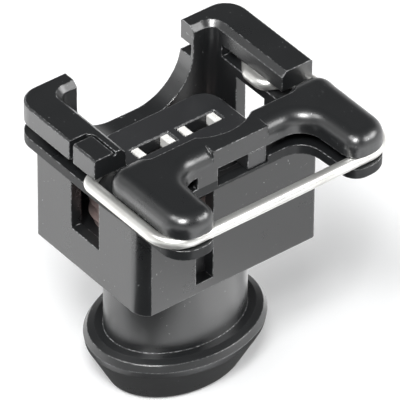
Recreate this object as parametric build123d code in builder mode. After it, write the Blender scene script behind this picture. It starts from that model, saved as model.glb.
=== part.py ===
"""Two-way rectangular plug with a wire latch, standing on its cable end with the mating mouth upward.

X runs along the front wire bar, Y from the bar toward the back, Z from the cable end to the mouth.
"""

import os
from math import cos, radians, sin

from build123d import *

os.makedirs("parts", exist_ok=True)

# Rear barb and neck, measured from the cable end
rear_length = 13.75
barb_top_z = 5.5
end_half_x, end_half_y = 6.75, 5.05
end_round = 0.7
rim_half_x, rim_half_y = 8.7, 6.95
rim_round = 1.0
neck_half_x, neck_half_y = 6.9, 5.2
bore_half_x, bore_half_y = 5.5, 3.8

# Body box and mouth
body_half_x = 9.45
body_half_y = 7.55
wall = 1.05
floor_thickness = 1.3
rear_wall = 1.8
front_wall = 1.15
corner_radius = 1.8
corner_span, corner_reach = 1.0, 1.6
sharp_radius = 0.4
edge_break = 0.15
bottom_break = 0.3
mouth_lead = 0.5
mouth_radius = 1.0
mouth_half_x = body_half_x - wall
mouth_back_y = body_half_y - rear_wall
mouth_front_y = -body_half_y + front_wall
floor_z = rear_length + floor_thickness

# Twin collar plates with the wire groove between them
plate_overhang = 2.25
plate_half_x = body_half_x + plate_overhang
plate_back_y = body_half_y
back_corner = 2.2
plate_rise = 12.05
lower_bottom_z = rear_length + plate_rise
lower_thickness = 0.95
groove_height = 1.25
upper_thickness = 2.0
groove_z = lower_bottom_z + lower_thickness
upper_z = groove_z + groove_height
top_z = upper_z + upper_thickness
core_inset = 1.45
core_round = 1.2
lobe_inset = 0.15
lobe_half_x = plate_half_x - lobe_inset
lobe_width = 4.75
lobe_inner_x = lobe_half_x - lobe_width
lobe_taper = 2.5
lobe_lean = 0.35
lobe_tip_y = -15.2
lobe_rear_y = -5.1
tip_outer_radius = 2.4
tip_inner_radius = 1.55
lobe_rear_radius = 1.6
lobe_round = 1.35
valley_y = -8.85
valley_radius = 2.2
block_half_x = 2.95
block_depth = 3.0
web_width = 1.65
deck_depth = 5.0
deck_end_y = valley_y + deck_depth

# Openings in the housing
cutout_half_x = 6.3
cutout_z = floor_z + 7.4
cutout_radius = 5.0
window_y0, window_y1 = -1.45, 2.45
window_z0 = floor_z + 2.75
opening_y = 4.5
opening_half_x = plate_half_x - core_inset + 0.45
slot_x0, slot_x1 = -3.7, -1.85
hatch_x0, hatch_x1 = -2.45, block_half_x
sill = 0.3
bay_radius, bay_depth = 5.0, 1.0
slit_y, slit_width, slit_depth = -0.6, 0.55, 1.8
seam_width, seam_depth = 0.25, 0.35
seam_start, seam_inset, seam_bend = 1.0, 2.1, 0.6

# Wire latch
wire_diameter = 1.15
wire_radius = wire_diameter / 2
wire_z = groove_z + groove_height / 2
bar_inset = 0.7
bar_y = lobe_tip_y + bar_inset
bar_corner = 2.6
leg_offset = 0.2
leg_x = plate_half_x + leg_offset
jog_y = -3.3
bump_reach = 0.2
bump_x = mouth_half_x - bump_reach
bump_y0, bump_y1 = -1.35, 0.5
end_x, end_y = bump_x + 1.6, bump_y1 + 2.1
bend = 0.9
latch_travel = 1.2
latch_clearance = 0.525
pillar_side = 1.3
pillar_x0 = lobe_inner_x + pillar_side
pillar_x1 = leg_x - wire_radius - latch_clearance
pillar_y0 = bar_y + wire_radius + latch_travel + latch_clearance
pillar_y1 = lobe_rear_y - 0.4

# Contact carrier and seal
pitch = 5.0
side_gap = 0.05
carrier_base = 2.0
mouth_gap_x, mouth_gap_y = 2.1, 2.05
tower_half_x = mouth_half_x - mouth_gap_x
tower_half_y = mouth_back_y - mouth_gap_y
tower_radius = 2.0
tower_edge = 0.3
tower_height = 10.0
tower_top_z = floor_z + tower_height
cavity_x, cavity_y = 4.5, 2.9
entry_x, entry_y = 4.1, 1.3
entry_depth = 1.3
entry_chamfer = 0.12
pocket_z = floor_z + 5.2
pocket_height = 2.2
pocket_depth = 0.7
pocket_width = 1.7
arm_x0, arm_x1 = 0.9, block_half_x - 0.1
arm_thickness = 0.75
arm_top_z = upper_z - 0.05
nose_height = 1.8
nose_recess = 0.15
nose_lead = 0.2
seal_thickness = 0.7
seal_rib = 0.4
seal_z = floor_z + carrier_base
seal_height = 3.4
rib_height = 0.8
rib_pitch = 1.4

# Receptacle contacts
box_x, box_y, box_length = 3.9, 2.2, 6.4
sheet_metal = 0.35
lip_x, lip_y, lip_height = 0.75, 1.2, 1.4
lip_edge = 0.2
spring_sheet = 0.2
spring_length = 5.0
contact_top_z = tower_top_z - entry_depth
box_bottom_z = contact_top_z - box_length
wire_crimp_top = box_bottom_z - 1.6
wire_crimp_length = 3.4
seal_crimp_top = wire_crimp_top - wire_crimp_length - 0.9
seal_crimp_length = 3.0
contact_bottom_z = seal_crimp_top - seal_crimp_length
strip_width = 1.6
wire_barrel, wire_wing = 2.2, 2.1
seal_barrel, seal_wing = 2.8, 2.9
lance_width, lance_rise = 1.2, 0.55


def is_back_corner(vertex):
    """True for the two back corners of a collar plate."""
    return vertex.Y > plate_back_y - 0.1 and abs(vertex.X) > plate_half_x - 0.1


def is_small_corner(vertex):
    """True for every corner of the body but the left front one."""
    return vertex.X > 0 or vertex.Y > 0


def is_tip_outer(vertex):
    """True for the outer corner of each lobe tip."""
    return vertex.Y < lobe_tip_y + 0.1 and abs(vertex.X) > lobe_half_x - 0.1


def is_tip_inner(vertex):
    """True for the inner corner of each lobe tip."""
    return vertex.Y < lobe_tip_y + 0.1 and abs(vertex.X) < lobe_inner_x + 0.6


def is_valley(vertex):
    """True for the two inside corners of the front valley."""
    return abs(vertex.Y - valley_y) < 0.1 and abs(vertex.X) < lobe_half_x - 1


def is_lobe_rear(vertex):
    """True for the rear outer corner of each lobe."""
    return abs(vertex.Y - lobe_rear_y) < 0.1 and abs(vertex.X) > plate_half_x - 0.2


def is_lobe_top(edge):
    """True for the edges round the top face of the lobes."""
    return edge.center().Z > top_z - 0.01


def is_mouth_rim(edge):
    """True for the upper inner edges of the mouth behind the wire openings."""
    box = edge.bounding_box()
    inside = max(abs(box.min.X), abs(box.max.X)) < mouth_half_x + 0.01
    behind = box.min.Y > deck_end_y - 0.01 and box.max.Y < mouth_back_y + 0.01
    return box.min.Z > top_z - 0.01 and inside and behind and abs(edge.center().X) > cutout_half_x


def is_outer_rim(edge):
    """True for the outer top edges of the upper plate's sides, back corners and back."""
    box = edge.bounding_box()
    side = min(abs(box.min.X), abs(box.max.X)) > plate_half_x - back_corner - 0.01
    back = box.min.Y > plate_back_y - back_corner - 0.01
    return box.min.Z > top_z - 0.01 and box.max.Y > deck_end_y + 0.1 and (side or back)


def is_entry_edge(edge):
    """True for the top edges of the two contact entries."""
    middle = edge.center()
    inside = abs(middle.X) < pitch / 2 + entry_x / 2 + 0.01 and abs(middle.Y) < entry_y / 2 + 0.01
    return middle.Z > tower_top_z - 0.01 and inside


def is_nose_lead(edge):
    """True for the outer top edge of the latch nose."""
    middle = edge.center()
    return middle.Z > arm_top_z - 0.01 and middle.Y < valley_y + nose_recess + 0.01


collar_half = [
    (0, plate_back_y),
    (plate_half_x, plate_back_y),
    (plate_half_x, lobe_rear_y),
    (lobe_half_x, lobe_rear_y - lobe_taper),
    (lobe_half_x, lobe_tip_y),
    (lobe_inner_x + lobe_lean, lobe_tip_y),
    (lobe_inner_x, valley_y),
    (0, valley_y),
]
collar_outline = collar_half + [(-x, y) for x, y in reversed(collar_half[1:-1])]

# Barb sections from the cable end up: size, edge radius, height of its centre, and how far the edge has turned
end_edge = [(end_half_x, end_half_y, end_round, end_round, angle) for angle in (-90, -60, -30)]
rim_middle_z = barb_top_z - rim_round
rim_edge = [(rim_half_x, rim_half_y, rim_round, rim_middle_z, angle) for angle in (-30, 10, 50, 90)]
mid_flank = [(low + high) / 2 for low, high in zip(end_edge[-1], rim_edge[0])]
barb_rings = end_edge + [mid_flank] + rim_edge

# Housing: barb, neck, body, collar plates and mouth in one moulding
with BuildPart() as housing:
    for half_x, half_y, radius, middle_z, angle in barb_rings:
        spread = radius * (1 - cos(radians(angle)))
        with BuildSketch(Plane.XY.offset(middle_z + radius * sin(radians(angle)))):
            Ellipse(half_x - spread, half_y - spread)
    loft(ruled=True)
    with BuildSketch(Plane.XY.offset(barb_top_z)):
        Ellipse(neck_half_x, neck_half_y)
    extrude(amount=floor_z - barb_top_z)

    # Body box: the left front corner is a large arc that the flat front face trims
    with BuildSketch(Plane.XY.offset(rear_length + bottom_break)) as body_plan:
        Rectangle(2 * body_half_x, 2 * body_half_y)
        fillet(body_plan.vertices().filter_by(is_small_corner), sharp_radius)
        with Locations((-body_half_x, -body_half_y)):
            Rectangle(2 * corner_span, 2 * corner_reach, mode=Mode.SUBTRACT)
        with Locations((-body_half_x + corner_radius, -body_half_y + corner_reach)):
            Circle(corner_radius)
        with Locations((0, -body_half_y - 1)):
            Rectangle(2 * body_half_x + 2, 2, mode=Mode.SUBTRACT)
    extrude(amount=lower_bottom_z - rear_length - bottom_break)
    extrude(body_plan.sketch, amount=-bottom_break, taper=45)

    # Front lobes of the upper collar plate, with rounded top edges
    with BuildSketch(Plane.XY.offset(upper_z)) as lobe_plan:
        with BuildLine():
            Polyline(*collar_outline, close=True)
        make_face()
        with Locations((0, (lobe_rear_y + plate_back_y + 1) / 2)):
            Rectangle(2 * plate_half_x + 2, plate_back_y + 1 - lobe_rear_y, mode=Mode.SUBTRACT)
        fillet(lobe_plan.vertices().filter_by(is_tip_outer), tip_outer_radius)
        fillet(lobe_plan.vertices().filter_by(is_tip_inner), tip_inner_radius)
        fillet(lobe_plan.vertices().filter_by(is_valley), valley_radius)
        fillet(lobe_plan.vertices().filter_by(is_lobe_rear), lobe_rear_radius)
    extrude(amount=upper_thickness)
    fillet(housing.edges().filter_by(is_lobe_top), lobe_round)

    # Lower collar plate
    with BuildSketch(Plane.XY.offset(lower_bottom_z)) as lower_plan:
        with BuildLine():
            Polyline(*collar_outline, close=True)
        make_face()
        fillet(lower_plan.vertices().filter_by(is_back_corner), back_corner)
        fillet(lower_plan.vertices().filter_by(is_tip_outer), tip_outer_radius)
        fillet(lower_plan.vertices().filter_by(is_tip_inner), tip_inner_radius)
        fillet(lower_plan.vertices().filter_by(is_valley), valley_radius)
    extrude(amount=lower_thickness)

    # Straight block between the lobes, flush with the valley line
    with BuildSketch(Plane.XY.offset(lower_bottom_z)):
        with Locations((0, valley_y + block_depth / 2)):
            Rectangle(2 * block_half_x, block_depth)
    extrude(amount=top_z - lower_bottom_z)

    # Rear and side part of the upper collar plate
    with BuildSketch(Plane.XY.offset(upper_z)) as upper_plan:
        with BuildLine():
            Polyline(*collar_outline, close=True)
        make_face()
        with Locations((0, (deck_end_y + lobe_tip_y - 1) / 2)):
            Rectangle(2 * plate_half_x + 2, deck_end_y - lobe_tip_y + 1, mode=Mode.SUBTRACT)
        fillet(upper_plan.vertices().filter_by(is_back_corner), back_corner)
    extrude(amount=upper_thickness)
    chamfer(housing.edges().filter_by(is_outer_rim), edge_break)

    # Core that joins the two plates behind the wire groove
    with BuildSketch(Plane.XY.offset(groove_z)):
        with Locations((0, (plate_back_y - core_inset + valley_y + core_round) / 2)):
            RectangleRounded(
                2 * (plate_half_x - core_inset),
                plate_back_y - core_inset - valley_y - core_round,
                corner_radius,
            )
        with Locations((-(block_half_x + web_width / 2), valley_y + block_depth / 2)):
            Rectangle(web_width, block_depth)
        with Locations(((pillar_x0 + pillar_x1) / 2, (pillar_y0 + pillar_y1) / 2)):
            RectangleRounded(pillar_x1 - pillar_x0, pillar_y1 - pillar_y0, core_round)
        with Locations((-(pillar_x0 + pillar_x1) / 2, (pillar_y0 + pillar_y1) / 2)):
            RectangleRounded(pillar_x1 - pillar_x0, pillar_y1 - pillar_y0, core_round)
    extrude(amount=groove_height)

    # Mating mouth, with a shallow bay behind the front block
    with BuildSketch(Plane.XY.offset(floor_z)):
        with Locations((0, (mouth_front_y + mouth_back_y) / 2)):
            RectangleRounded(2 * mouth_half_x, mouth_back_y - mouth_front_y, mouth_radius)
    extrude(amount=top_z - floor_z, mode=Mode.SUBTRACT)
    with BuildSketch(Plane.XY.offset(lower_bottom_z)):
        with Locations((0, mouth_front_y - bay_depth + bay_radius)):
            Circle(bay_radius)
    extrude(amount=top_z - lower_bottom_z, mode=Mode.SUBTRACT)

    # Rounded cut-out through the back wall and both plates
    with BuildSketch(Plane.XZ.offset(-plate_back_y)) as cutout_plan:
        with Locations((0, (cutout_z + top_z) / 2)):
            Rectangle(2 * cutout_half_x, top_z - cutout_z)
        fillet(cutout_plan.vertices().group_by(Axis.Y)[0], cutout_radius)
    extrude(amount=rear_wall, mode=Mode.SUBTRACT)

    # Hollow neck for the two wires
    with BuildSketch(Plane.XY):
        Ellipse(bore_half_x, bore_half_y)
    extrude(amount=floor_z, mode=Mode.SUBTRACT)

    # Side windows below the plates, and the openings that let the wire into the mouth
    with Locations((0, (window_y0 + window_y1) / 2, (window_z0 + lower_bottom_z) / 2)):
        Box(4 * body_half_x, window_y1 - window_y0, lower_bottom_z - window_z0, mode=Mode.SUBTRACT)
    with Locations((0, (lobe_rear_y + opening_y) / 2, wire_z)):
        Box(2 * opening_half_x, opening_y - lobe_rear_y, groove_height, mode=Mode.SUBTRACT)

    # Keyway slot in the front wall
    with Locations(((slot_x0 + slot_x1) / 2, -body_half_y, (floor_z + lower_bottom_z) / 2)):
        Box(slot_x1 - slot_x0, 2 * front_wall, lower_bottom_z - floor_z, mode=Mode.SUBTRACT)

    # Latch window in the front block
    with Locations(((hatch_x0 + hatch_x1) / 2, valley_y, (lower_bottom_z + sill + upper_z) / 2)):
        Box(hatch_x1 - hatch_x0, 2 * block_depth, upper_z - lower_bottom_z - sill, mode=Mode.SUBTRACT)

    # Slit and seam that part the left side plate from its front tongue
    with Locations((-plate_half_x + slit_depth / 2, slit_y, upper_z + upper_thickness / 2)):
        Box(slit_depth, slit_width, upper_thickness, mode=Mode.SUBTRACT)
    with BuildSketch(Plane.XY.offset(top_z - seam_depth)):
        with BuildLine():
            FilletPolyline(
                (-plate_half_x + seam_start, slit_y),
                (-plate_half_x + seam_inset, slit_y),
                (-plate_half_x + seam_inset, deck_end_y),
                radius=seam_bend,
            )
        trace(line_width=seam_width)
    extrude(amount=seam_depth, mode=Mode.SUBTRACT)

    # Lead-in round the back of the mouth
    chamfer(housing.edges().filter_by(is_mouth_rim), mouth_lead)
housing.part.label = "housing"

# Wire latch: front bar, two legs, and an inward bump each side that ends in the opening
with BuildPart() as wire_spring:
    with BuildLine(Plane.XY.offset(wire_z)) as wire_path:
        leg_points = [
            (leg_x, bar_y + bar_corner),
            (leg_x, jog_y),
            (bump_x, bump_y0),
            (bump_x, bump_y1),
            (end_x, end_y),
        ]
        FilletPolyline(*[(-x, y) for x, y in reversed(leg_points)], radius=bend)
        JernArc((-leg_x, bar_y + bar_corner), (0, -1), bar_corner, 90)
        Line((-leg_x + bar_corner, bar_y), (leg_x - bar_corner, bar_y))
        JernArc((leg_x - bar_corner, bar_y), (1, 0), bar_corner, 90)
        FilletPolyline(*leg_points, radius=bend)
    with BuildSketch(Plane((-end_x, end_y, wire_z), z_dir=(end_x - bump_x, bump_y1 - end_y, 0))):
        Circle(wire_radius)
    sweep()
wire_spring.part.label = "wire_spring"

# Contact carrier: base in the mouth, tower with two entries, latch arm with its nose in the front window
with BuildPart() as contact_carrier:
    with BuildSketch(Plane.XY.offset(floor_z)):
        with Locations((0, (mouth_front_y + mouth_back_y) / 2)):
            RectangleRounded(
                2 * (mouth_half_x - side_gap),
                mouth_back_y - mouth_front_y - 2 * side_gap,
                mouth_radius - side_gap,
            )
    extrude(amount=carrier_base)
    with BuildSketch(Plane.XY.offset(floor_z)):
        RectangleRounded(2 * tower_half_x, 2 * tower_half_y, tower_radius)
    extrude(amount=tower_top_z - floor_z)
    chamfer(contact_carrier.faces().sort_by(Axis.Z)[-1].edges(), tower_edge)
    with BuildSketch(Plane.XY.offset(floor_z)):
        with GridLocations(pitch, 1, 2, 1):
            Rectangle(cavity_x, cavity_y)
    extrude(amount=contact_top_z - floor_z, mode=Mode.SUBTRACT)
    with BuildSketch(Plane.XY.offset(contact_top_z)):
        with GridLocations(pitch, 1, 2, 1):
            Rectangle(entry_x, entry_y)
    extrude(amount=entry_depth, mode=Mode.SUBTRACT)
    chamfer(contact_carrier.edges().filter_by(is_entry_edge), entry_chamfer)
    with BuildSketch(Plane.XY.offset(pocket_z)):
        with Locations((-pitch / 2, cavity_y / 2), (pitch / 2, cavity_y / 2)):
            Rectangle(pocket_width, 2 * pocket_depth)
    extrude(amount=pocket_height, mode=Mode.SUBTRACT)
    with BuildSketch(Plane.XY.offset(floor_z)):
        with Locations(((arm_x0 + arm_x1) / 2, mouth_front_y + side_gap + arm_thickness / 2)):
            Rectangle(arm_x1 - arm_x0, arm_thickness)
    extrude(amount=arm_top_z - floor_z)
    nose_y0 = valley_y + nose_recess
    nose_y1 = mouth_front_y + side_gap + arm_thickness
    with BuildSketch(Plane.XY.offset(arm_top_z - nose_height)):
        with Locations(((arm_x0 + arm_x1) / 2, (nose_y0 + nose_y1) / 2)):
            Rectangle(arm_x1 - arm_x0, nose_y1 - nose_y0)
    extrude(amount=nose_height)
    chamfer(contact_carrier.edges().filter_by(is_nose_lead), nose_lead)
contact_carrier.part.label = "contact_carrier"

# Mouth seal: a soft ring round the tower with two sealing ribs
with BuildPart() as mouth_seal:
    with BuildSketch(Plane.XY.offset(seal_z)):
        RectangleRounded(
            2 * (tower_half_x + seal_thickness),
            2 * (tower_half_y + seal_thickness),
            tower_radius + seal_thickness,
        )
    extrude(amount=seal_height)
    for rib_z in (seal_z + (seal_height - rib_pitch) / 2, seal_z + (seal_height + rib_pitch) / 2):
        with BuildSketch(Plane.XY.offset(rib_z)):
            RectangleRounded(
                2 * (tower_half_x + seal_thickness + seal_rib),
                2 * (tower_half_y + seal_thickness + seal_rib),
                tower_radius + seal_thickness + seal_rib,
            )
        extrude(amount=rib_height / 2, both=True, taper=45)
    with BuildSketch(Plane.XY.offset(seal_z)):
        RectangleRounded(2 * tower_half_x, 2 * tower_half_y, tower_radius)
    extrude(amount=seal_height, mode=Mode.SUBTRACT)
mouth_seal.part.label = "mouth_seal"

# Left receptacle contact: square tube with two lips in the entry, neck strip and two open crimp barrels
with BuildPart() as contact_left:
    with BuildSketch(Plane.XY.offset(box_bottom_z)):
        with Locations((-pitch / 2, 0)):
            Rectangle(box_x, box_y)
            Rectangle(box_x - 2 * sheet_metal, box_y - 2 * sheet_metal, mode=Mode.SUBTRACT)
    extrude(amount=box_length)
    with BuildSketch(Plane.XY.offset(contact_top_z - lip_x)):
        with Locations((-pitch / 2, 0)):
            with GridLocations(box_x - lip_x, 1, 2, 1):
                Rectangle(lip_x, lip_y)
    extrude(amount=lip_x + lip_height)
    chamfer(contact_left.faces().group_by(Axis.Z)[-1].edges(), lip_edge)
    with BuildSketch(Plane.XY.offset(contact_bottom_z)):
        with Locations((-pitch / 2, box_y / 2 - sheet_metal / 2)):
            Rectangle(strip_width, sheet_metal)
    extrude(amount=box_bottom_z - contact_bottom_z + 0.5)
    with BuildSketch(Plane.XY.offset(wire_crimp_top - wire_crimp_length)):
        with Locations((-pitch / 2, box_y / 2 - wire_wing / 2)):
            Rectangle(wire_barrel, wire_wing)
        with Locations((-pitch / 2, box_y / 2 - wire_wing / 2 - sheet_metal)):
            Rectangle(wire_barrel - 2 * sheet_metal, wire_wing, mode=Mode.SUBTRACT)
    extrude(amount=wire_crimp_length)
    with BuildSketch(Plane.XY.offset(contact_bottom_z)):
        with Locations((-pitch / 2, box_y / 2 - seal_wing / 2)):
            Rectangle(seal_barrel, seal_wing)
        with Locations((-pitch / 2, box_y / 2 - seal_wing / 2 - sheet_metal)):
            Rectangle(seal_barrel - 2 * sheet_metal, seal_wing, mode=Mode.SUBTRACT)
    extrude(amount=seal_crimp_length)
contact_left.part.label = "contact_left"

# Right receptacle contact, the same pressing one pitch along
with BuildPart() as contact_right:
    with Locations((pitch, 0, 0)):
        add(contact_left.part)
contact_right.part.label = "contact_right"

# Left over-spring: thin steel sleeve on the contact with a locking lance in the carrier's pocket
with BuildPart() as over_spring_left:
    with BuildSketch(Plane.XY.offset(contact_top_z - spring_length)):
        with Locations((-pitch / 2, 0)):
            Rectangle(box_x + 2 * spring_sheet, box_y + 2 * spring_sheet)
            Rectangle(box_x, box_y, mode=Mode.SUBTRACT)
    extrude(amount=spring_length)
    with BuildSketch(Plane.YZ.offset(-pitch / 2 - lance_width / 2)):
        with BuildLine():
            Polyline(
                (box_y / 2 + 0.02, pocket_z + pocket_height - 0.1),
                (box_y / 2 + spring_sheet + lance_rise, pocket_z + 0.1),
                (box_y / 2 + 0.02, pocket_z + 0.5),
                close=True,
            )
        make_face()
    extrude(amount=lance_width)
over_spring_left.part.label = "over_spring_left"

# Right over-spring
with BuildPart() as over_spring_right:
    with Locations((pitch, 0, 0)):
        add(over_spring_left.part)
over_spring_right.part.label = "over_spring_right"

export_step(housing.part, "parts/housing.step")
export_step(wire_spring.part, "parts/wire_spring.step")
export_step(contact_carrier.part, "parts/contact_carrier.step")
export_step(mouth_seal.part, "parts/mouth_seal.step")
export_step(contact_left.part, "parts/contact_left.step")
export_step(contact_right.part, "parts/contact_right.step")
export_step(over_spring_left.part, "parts/over_spring_left.step")
export_step(over_spring_right.part, "parts/over_spring_right.step")
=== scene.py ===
import math

import bpy
from mathutils import Matrix, Vector


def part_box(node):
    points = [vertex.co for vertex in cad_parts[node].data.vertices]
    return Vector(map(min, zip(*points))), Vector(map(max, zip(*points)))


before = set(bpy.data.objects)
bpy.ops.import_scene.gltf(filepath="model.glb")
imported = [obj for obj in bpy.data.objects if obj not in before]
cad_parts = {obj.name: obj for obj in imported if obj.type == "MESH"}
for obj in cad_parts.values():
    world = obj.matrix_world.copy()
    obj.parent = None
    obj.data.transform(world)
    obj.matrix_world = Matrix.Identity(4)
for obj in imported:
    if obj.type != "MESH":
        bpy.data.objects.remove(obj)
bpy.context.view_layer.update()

MM = 0.001

# Camera: a long lens from the front left, looking down on the plug as it stands on its cable end.
# The plug sits a little left of and above the middle of the frame, which the lens shift gives.
FRAME_PIXELS = 400
SENSOR_MM = 36.0
FOCAL_PIXELS = 6543.7
TARGET = Vector((0, 0, 20.95 * MM))
TARGET_PIXEL_X, TARGET_PIXEL_Y = 176.26, 171.46
AZIMUTH, ELEVATION, ROLL = math.radians(-37.95), math.radians(38.29), math.radians(0.34)
DISTANCE = 562.1 * MM
NEAREST, FARTHEST = 0.01, 20.0

toward_camera = Vector((
    math.sin(AZIMUTH) * math.cos(ELEVATION),
    -math.cos(AZIMUTH) * math.cos(ELEVATION),
    math.sin(ELEVATION),
))
lens = bpy.data.cameras.new("camera")
lens.sensor_width = SENSOR_MM
lens.lens = SENSOR_MM * FOCAL_PIXELS / FRAME_PIXELS
lens.shift_x = (FRAME_PIXELS / 2 - TARGET_PIXEL_X) / FRAME_PIXELS
lens.shift_y = (TARGET_PIXEL_Y - FRAME_PIXELS / 2) / FRAME_PIXELS
lens.clip_start = NEAREST
lens.clip_end = FARTHEST
camera = bpy.data.objects.new("camera", lens)
aim = (-toward_camera).to_track_quat("-Z", "Y").to_matrix().to_4x4()
roll = Matrix.Rotation(ROLL, 4, "Z")
camera.matrix_world = Matrix.Translation(TARGET + toward_camera * DISTANCE) @ aim @ roll
bpy.context.scene.collection.objects.link(camera)
bpy.context.scene.camera = camera
bpy.context.scene.view_settings.view_transform = "Standard"


# Studio: a white paper floor under a pale surround, with the ceiling left dark, so that the walls
# reflect white paper and the tops stay black. Four soft lamps light the plug from above and from
# the front, and cards on the floor, which only reflections see, shade its walls.
class Shade:
    """One value in a node tree. Arithmetic on it adds Math nodes; node() adds any other node."""

    def __init__(self, tree, socket=None):
        self.tree = tree
        self.socket = socket

    def node(self, kind, settings=None, inputs=None, output=0):
        made = self.tree.nodes.new(kind)
        for name, value in (settings or {}).items():
            setattr(made, name, value)
        for name, value in (inputs or {}).items():
            if isinstance(value, Shade):
                self.tree.links.new(value.socket, made.inputs[name])
            else:
                made.inputs[name].default_value = value
        return Shade(self.tree, made.outputs[output] if made.outputs else None)

    def math(self, operation, left, right=0.0):
        return self.node("ShaderNodeMath", {"operation": operation}, {0: left, 1: right})

    def __add__(self, other):
        return self.math("ADD", self, other)

    def __sub__(self, other):
        return self.math("SUBTRACT", self, other)

    def __rsub__(self, other):
        return self.math("SUBTRACT", other, self)

    def __mul__(self, other):
        return self.math("MULTIPLY", self, other)

    __radd__ = __add__
    __rmul__ = __mul__

    def between(self, low, high):
        """0 at low, 1 at high, with a smooth rise between them."""
        return self.node(
            "ShaderNodeMapRange",
            {"interpolation_type": "SMOOTHSTEP"},
            {"Value": self, "From Min": low, "From Max": high},
        )

    def blend(self, first, second):
        """The first colour where this is 0, the second where it is 1."""
        return self.node(
            "ShaderNodeMix", {"data_type": "RGBA"}, {0: self, 6: first, 7: second}, output=2
        )

    def noise(self, place, scale, detail):
        """Noise at that place; the scale is in features per metre."""
        return self.node(
            "ShaderNodeTexNoise", inputs={"Vector": place, "Scale": scale, "Detail": detail}
        )

    def axis(self, place, letter):
        """The X, Y or Z of a place."""
        return self.node("ShaderNodeSeparateXYZ", inputs={"Vector": place}, output=letter)


def empty_material(name):
    """A new material, and its node tree, emptied, as a Shade to build on."""
    material = bpy.data.materials.new(name)
    material.use_nodes = True
    material.node_tree.nodes.clear()
    return material, Shade(material.node_tree)


WHITE = (1, 1, 1, 1)
SURROUND_LEVEL, CEILING_LEVEL = 0.85, 0.06
SURROUND_TOP, CEILING_EDGE = 0.05, 0.45

world = bpy.data.worlds.new("studio")
bpy.context.scene.world = world
world.use_nodes = True
world.node_tree.nodes.clear()
room = Shade(world.node_tree)
direction = room.node("ShaderNodeTexCoord", output="Generated")
ceiling = room.axis(direction, "Z").between(SURROUND_TOP, CEILING_EDGE)
level = ceiling * (CEILING_LEVEL - SURROUND_LEVEL) + SURROUND_LEVEL
sky = room.node("ShaderNodeBackground", inputs={"Color": WHITE, "Strength": level})
room.node("ShaderNodeOutputWorld", inputs={"Surface": sky})

FLOOR_SIZE = 6.0
FLOOR_COLOUR = (0.86, 0.865, 0.87, 1)
FLOOR_ROUGHNESS, FLOOR_SHEEN = 0.9, 0.1
FLOOR_GLOW = 0.17

bpy.ops.object.select_all(action="DESELECT")
bpy.ops.mesh.primitive_plane_add(size=FLOOR_SIZE, location=(0, 0, 0))
floor = bpy.context.object
floor.name = "studio_floor"
paper, sheet = empty_material("floor_paper")
camera_ray = sheet.node("ShaderNodeLightPath", output="Is Camera Ray")
glossy_ray = sheet.node("ShaderNodeLightPath", output="Is Glossy Ray")
clear_ray = sheet.node("ShaderNodeLightPath", output="Is Transmission Ray")
seen = camera_ray + glossy_ray + clear_ray
floor_surface = sheet.node(
    "ShaderNodeBsdfPrincipled",
    inputs={
        "Base Color": FLOOR_COLOUR,
        "Roughness": FLOOR_ROUGHNESS,
        "Specular IOR Level": FLOOR_SHEEN,
        "Emission Color": WHITE,
        "Emission Strength": seen * FLOOR_GLOW,
    },
)
sheet.node("ShaderNodeOutputMaterial", inputs={"Surface": floor_surface})
floor.data.materials.append(paper)

CARD_HEIGHT = 0.3 * MM


def reflector(name, way, near, far, near_half, far_half, glow):
    """A card on the floor that only reflections see, that way from the plug.

    It reaches from near to far, and widens from one half width to the other.
    """
    way = Vector((*way, 0)).normalized()
    side = Vector((-way.y, way.x, 0))
    bpy.ops.object.select_all(action="DESELECT")
    bpy.ops.mesh.primitive_plane_add(size=2, location=(0, 0, 0))
    card = bpy.context.object
    card.name = name
    for corner in card.data.vertices:
        reach, half = (far, far_half) if corner.co.x > 0 else (near, near_half)
        corner.co = way * reach + side * half * corner.co.y + Vector((0, 0, CARD_HEIGHT))
    card.visible_camera = False
    card.visible_diffuse = False
    card.visible_shadow = False
    board, face = empty_material(name)
    light = face.node("ShaderNodeEmission", inputs={"Color": WHITE, "Strength": glow})
    face.node("ShaderNodeOutputMaterial", inputs={"Surface": light})
    card.data.materials.append(board)


# Black keeps the left front corner dark, and grey, under the plug, the slope of the barb. The left
# and right cards and the front one draw the pale left side and the bright edges of the neck. The
# dim one takes the front wall down a little below the left wall.
LEFT_FRONT, RIGHT_FRONT = (-0.62, -0.48), (0.615, -0.788)
LEFT_BACK, RIGHT_BACK = (-0.48, 0.62), (0.90, 0.36)
# Name, way, near and far reach in mm, half width at each in mm, glow.
for name, way, near, far, near_half, far_half, glow in (
    ("black_card", LEFT_FRONT, 15, 300, 15, 160, 0.02),
    ("grey_card", (1.0, 0.0), -10.5, 10.5, 9, 9, 0.16),
    ("left_card", LEFT_BACK, 14, 42, 13, 24, 1.3),
    ("far_left_card", LEFT_BACK, 42, 250, 24, 90, 1.8),
    ("front_card", RIGHT_FRONT, 13, 20, 8, 9, 1.9),
    ("dim_front_card", RIGHT_FRONT, 20, 46, 17, 24, 0.78),
    ("right_card", RIGHT_BACK, 13, 120, 7, 34, 1.6),
):
    reflector(name, way, near * MM, far * MM, near_half * MM, far_half * MM, glow)

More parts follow.
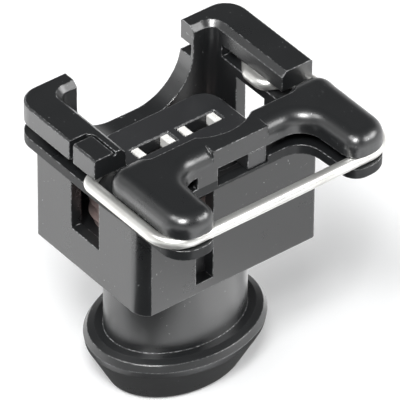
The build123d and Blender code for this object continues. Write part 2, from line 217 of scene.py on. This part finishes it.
# Name, way from the plug, distance, width and height in metres, brightness. The high and front
# lamps make the two highlights on each lobe's tip, and the back lamp the streaks along the lobes.
for name, way, distance, width, tall, brightness in (
    ("high_lamp", (-0.42, -0.40, 0.82), 0.60, 0.18, 0.18, 32.0),
    ("front_lamp", (0.70, -0.58, 0.56), 0.55, 0.33, 0.20, 6.6),
    ("back_lamp", (-0.50, 0.12, 0.86), 0.60, 0.20, 0.20, 6.0),
    ("side_panel", (-0.62, 0.62, 0.40), 0.60, 0.70, 0.50, 0.4),
):
    light = bpy.data.lights.new(name, "AREA")
    light.shape = "RECTANGLE"
    light.size = width
    light.size_y = tall
    light.energy = brightness * math.pi * width * tall
    lamp = bpy.data.objects.new(name, light)
    way = Vector(way).normalized()
    turn = way.to_track_quat("Z", "Y").to_matrix().to_4x4()
    lamp.matrix_world = Matrix.Translation(TARGET + way * distance) @ turn
    bpy.context.scene.collection.objects.link(lamp)


# Housing: one moulding of black glass-filled plastic, from the boot barb up to the collar plates.
# Its walls are satin from the tool, its sharp edges carry a thin pale line, partly wear and partly
# a painted highlight, and specks of dust. The rim of the lower collar plate is made duller and
# darker than the rest, as painted shade under the wire.
EDGE_RADIUS = 0.16 * MM
GRAIN_DEPTH = 0.02 * MM
CLOUD_SCALE, GRAIN_SCALE, SPECK_SCALE = 210, 6500, 3100
# Pale colour of the dust and of the edges, which are partly worn and partly a painted highlight.
DUST_AND_HIGHLIGHT_COLOUR = (0.55, 0.56, 0.57, 1)
PLASTIC_IOR, PLASTIC_SHEEN = 1.62, 1.0
# Painted shade: the lower plate's rim under the wire gets a rougher, less reflective surface mixed
# in.
SHADED_RIM_ROUGHNESS, SHADED_RIM_SHEEN, SHADED_RIM_SHARE = 0.6, 0.2, 0.75


def shaded_plate_rim(body, place, plate):
    """1 on the rim of the lower plate outside the body's walls, where painted shade goes; 0
    everywhere else.
    """
    across, along, up = (body.axis(place, letter) for letter in "XYZ")
    above_foot = up.between(plate["bottom"] - 0.05 * MM, plate["bottom"] - 0.02 * MM)
    below_top = 1 - up.between(plate["top"] - 0.05 * MM, plate["top"])
    half_width = plate["body_half_width"]
    beside = body.math("ABSOLUTE", across).between(
        half_width + 0.05 * MM, half_width + 0.15 * MM
    )
    before = (plate["body_front"] - along).between(0.3 * MM, 0.4 * MM)
    return above_foot * below_top * body.math("MAXIMUM", beside, before)


def moulded_plastic(name, colour, roughness, grain, dust, plate=None):
    """Black plastic with a fine tool grain, softened edges pale partly from wear and partly from a
    painted highlight, and a little dust.

    With a plate given, that plate's rim is made duller and darker, as painted shade under the wire.
    """
    material, body = empty_material(name)
    place = body.node("ShaderNodeTexCoord", output="Object")
    soft_normal = body.node("ShaderNodeBevel", {"samples": 6}, {"Radius": EDGE_RADIUS})
    true_normal = body.node("ShaderNodeNewGeometry", output="True Normal")
    alike = body.node(
        "ShaderNodeVectorMath",
        {"operation": "DOT_PRODUCT"},
        {0: soft_normal, 1: true_normal},
        output="Value",
    )
    edge = (1 - alike).between(0.004, 0.12)
    cloud = body.noise(place, CLOUD_SCALE, 3)
    fine = body.noise(place, GRAIN_SCALE, 2)
    speck = body.noise(place, SPECK_SCALE, 2)
    # Speckled pale lines along the sharp edges: partly wear, partly a painted highlight.
    edge_wear_and_highlight = edge * speck.between(0.46, 0.60)
    dusty = speck.between(0.70, 0.76) * cloud.between(0.45, 0.65)
    dust_and_edge_highlight = body.node("ShaderNodeClamp", inputs={"Value": edge_wear_and_highlight * 0.7 + dusty * dust})
    cloud_share, grain_share = 0.14, 0.05
    mean_share = (cloud_share + grain_share) / 2
    bump = body.node(
        "ShaderNodeBump",
        inputs={"Strength": grain, "Distance": GRAIN_DEPTH, "Height": fine, "Normal": soft_normal},
    )
    surface = body.node(
        "ShaderNodeBsdfPrincipled",
        inputs={
            "Base Color": dust_and_edge_highlight.blend((*colour, 1), DUST_AND_HIGHLIGHT_COLOUR),
            "Roughness": cloud * cloud_share + fine * grain_share + (roughness - mean_share),
            "IOR": PLASTIC_IOR,
            "Specular IOR Level": PLASTIC_SHEEN,
            "Normal": bump,
        },
    )
    # Painted shade on the lower plate's rim: a rougher, less glossy surface mixed in darkens it.
    if plate:
        shaded_rim = shaded_plate_rim(body, place, plate)
        dull_shaded = body.node(
            "ShaderNodeBsdfPrincipled",
            inputs={
                "Base Color": (*colour, 1),
                "Roughness": SHADED_RIM_ROUGHNESS,
                "Specular IOR Level": SHADED_RIM_SHEEN,
                "Normal": bump,
            },
        )
        surface = body.node(
            "ShaderNodeMixShader", inputs={0: shaded_rim * SHADED_RIM_SHARE, 1: surface, 2: dull_shaded}
        )
    body.node("ShaderNodeOutputMaterial", inputs={"Surface": surface})
    return material


def dress(node, material):
    """The CAD node takes this material in its one slot."""
    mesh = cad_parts[node].data
    mesh.materials.clear()
    mesh.materials.append(material)


lower_plate = {
    "bottom": 25.80 * MM,
    "top": 26.75 * MM,
    "body_half_width": 9.45 * MM,
    "body_front": -7.55 * MM,
}
housing_plastic = moulded_plastic(
    "housing_plastic",
    (0.012, 0.013, 0.014),
    roughness=0.30,
    grain=0.25,
    dust=0.6,
    plate=lower_plate,
)
dress("housing", housing_plastic)

# Contact carrier: the black insert in the mouth, with the tower that holds the contacts. It is the
# same kind of plastic as the housing, a little paler and less glossy, and pressed in from above.
carrier_plastic = moulded_plastic(
    "carrier_plastic", (0.020, 0.021, 0.023), roughness=0.38, grain=0.2, dust=0.4
)
dress("contact_carrier", carrier_plastic)


# Wire latch: bright drawn spring wire, bent round the collar and held by its own spring in the
# groove. Faint lines from the die run along its length, and patches of it are a little tarnished.
ALONG_WIRE, ROUND_WIRE = 120, 9000
BRIGHT_WIRE, TARNISHED_WIRE = (0.93, 0.93, 0.90, 1), (0.82, 0.81, 0.78, 1)
LEG_ENDS, BAR_STARTS = -12.6 * MM, -14.1 * MM


def drawn_wire(name):
    """Bright wire with fine lines along the bar in front and along the legs at the sides."""
    material, wire = empty_material(name)
    place = wire.node("ShaderNodeTexCoord", output="Object")
    along_bar = wire.node(
        "ShaderNodeMapping", inputs={"Vector": place, "Scale": (ALONG_WIRE, ROUND_WIRE, ROUND_WIRE)}
    )
    along_leg = wire.node(
        "ShaderNodeMapping", inputs={"Vector": place, "Scale": (ROUND_WIRE, ALONG_WIRE, ROUND_WIRE)}
    )
    on_leg = wire.axis(place, "Y").between(BAR_STARTS, LEG_ENDS)
    lines = wire.noise(along_bar, 1, 2) * (1 - on_leg) + wire.noise(along_leg, 1, 2) * on_leg
    tarnish = wire.noise(place, 420, 3).between(0.35, 0.75)
    bump = wire.node(
        "ShaderNodeBump", inputs={"Strength": 0.15, "Distance": 0.01 * MM, "Height": lines}
    )
    surface = wire.node(
        "ShaderNodeBsdfPrincipled",
        inputs={
            "Base Color": tarnish.blend(BRIGHT_WIRE, TARNISHED_WIRE),
            "Metallic": 0.85,
            "Roughness": lines * 0.16 + 0.30,
            "Normal": bump,
        },
    )
    wire.node("ShaderNodeOutputMaterial", inputs={"Surface": surface})
    return material


dress("wire_spring", drawn_wire("spring_wire"))


# Mouth seal: a soft pinkish grey silicone ring at the foot of the tower, matt and slightly bloomed.
# It is stretched over the tower, and seen through the side windows.
SEAL_COLOUR, BLOOM_COLOUR = (0.45, 0.34, 0.32, 1), (0.58, 0.47, 0.45, 1)
BLOOM_SCALE = 900


def silicone(name):
    """Matt rubber with a cloudy bloom."""
    material, rubber = empty_material(name)
    place = rubber.node("ShaderNodeTexCoord", output="Object")
    bloom = rubber.noise(place, BLOOM_SCALE, 4)
    bump = rubber.node(
        "ShaderNodeBump", inputs={"Strength": 0.2, "Distance": 0.02 * MM, "Height": bloom}
    )
    surface = rubber.node(
        "ShaderNodeBsdfPrincipled",
        inputs={
            "Base Color": bloom.between(0.35, 0.8).blend(SEAL_COLOUR, BLOOM_COLOUR),
            "Roughness": bloom * 0.2 + 0.55,
            "Normal": bump,
        },
    )
    rubber.node("ShaderNodeOutputMaterial", inputs={"Surface": surface})
    return material


dress("mouth_seal", silicone("seal_rubber"))


# Receptacle contacts and their sleeves: strip pressed and folded, each contact in a thin steel
# spring sleeve. The four lips at the top of the tower are near-white, pale tin with a painted
# highlight, and the metal below them is dark grey, painted shade deep in the tower.
# Painted highlight: the lips are near-white and nearly without metal, for pale tin that catches the
# light.
LIP_TIN_AND_HIGHLIGHT_COLOUR = (0.97, 0.96, 0.93, 1)
LIP_HIGHLIGHT_RISE = 0.2 * MM
LIP_HIGHLIGHT_METAL_LOSS = 0.9
GRAIN_STRETCH = 12
PATCH_SCALE = 700
SHEET_ROUGHNESS = 0.35


def pressed_sheet(name, shaded_tone, dull_shaded, grain_scale, highlight_foot):
    """Dark grey sheet metal, painted shade, with rolling lines and dull patches, and above the lip
    foot pale tin with a painted highlight.
    """
    material, strip = empty_material(name)
    place = strip.node("ShaderNodeTexCoord", output="Object")
    stretch = (grain_scale, grain_scale, grain_scale / GRAIN_STRETCH)
    stretched = strip.node("ShaderNodeMapping", inputs={"Vector": place, "Scale": stretch})
    rolling = strip.noise(stretched, 1, 3)
    patches = strip.noise(place, PATCH_SCALE, 2).between(0.4, 0.7)
    lip_highlight = strip.axis(place, "Z").between(highlight_foot, highlight_foot + LIP_HIGHLIGHT_RISE)
    bump = strip.node(
        "ShaderNodeBump", inputs={"Strength": 0.2, "Distance": 0.01 * MM, "Height": rolling}
    )
    surface = strip.node(
        "ShaderNodeBsdfPrincipled",
        inputs={
            "Base Color": lip_highlight.blend(patches.blend((*shaded_tone, 1), (*dull_shaded, 1)), LIP_TIN_AND_HIGHLIGHT_COLOUR),
            "Metallic": 1 - lip_highlight * LIP_HIGHLIGHT_METAL_LOSS,
            "Roughness": rolling * 0.15 + SHEET_ROUGHNESS,
            "Normal": bump,
        },
    )
    strip.node("ShaderNodeOutputMaterial", inputs={"Surface": surface})
    return material


sleeve_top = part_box("over_spring_left")[1][2]
# Painted shade: the contact and its sleeve are given dark greys, deep in the tower; the dull
# patches in them are random.
tin = pressed_sheet(
    "contact_metal", (0.36, 0.35, 0.33), (0.24, 0.23, 0.22), 5000, highlight_foot=sleeve_top + 0.2 * MM
)
steel = pressed_sheet(
    "sleeve_steel", (0.40, 0.41, 0.42), (0.30, 0.31, 0.32), 6000, highlight_foot=sleeve_top + 1 * MM
)
for side in ("left", "right"):
    dress(f"contact_{side}", tin)
    dress(f"over_spring_{side}", steel)
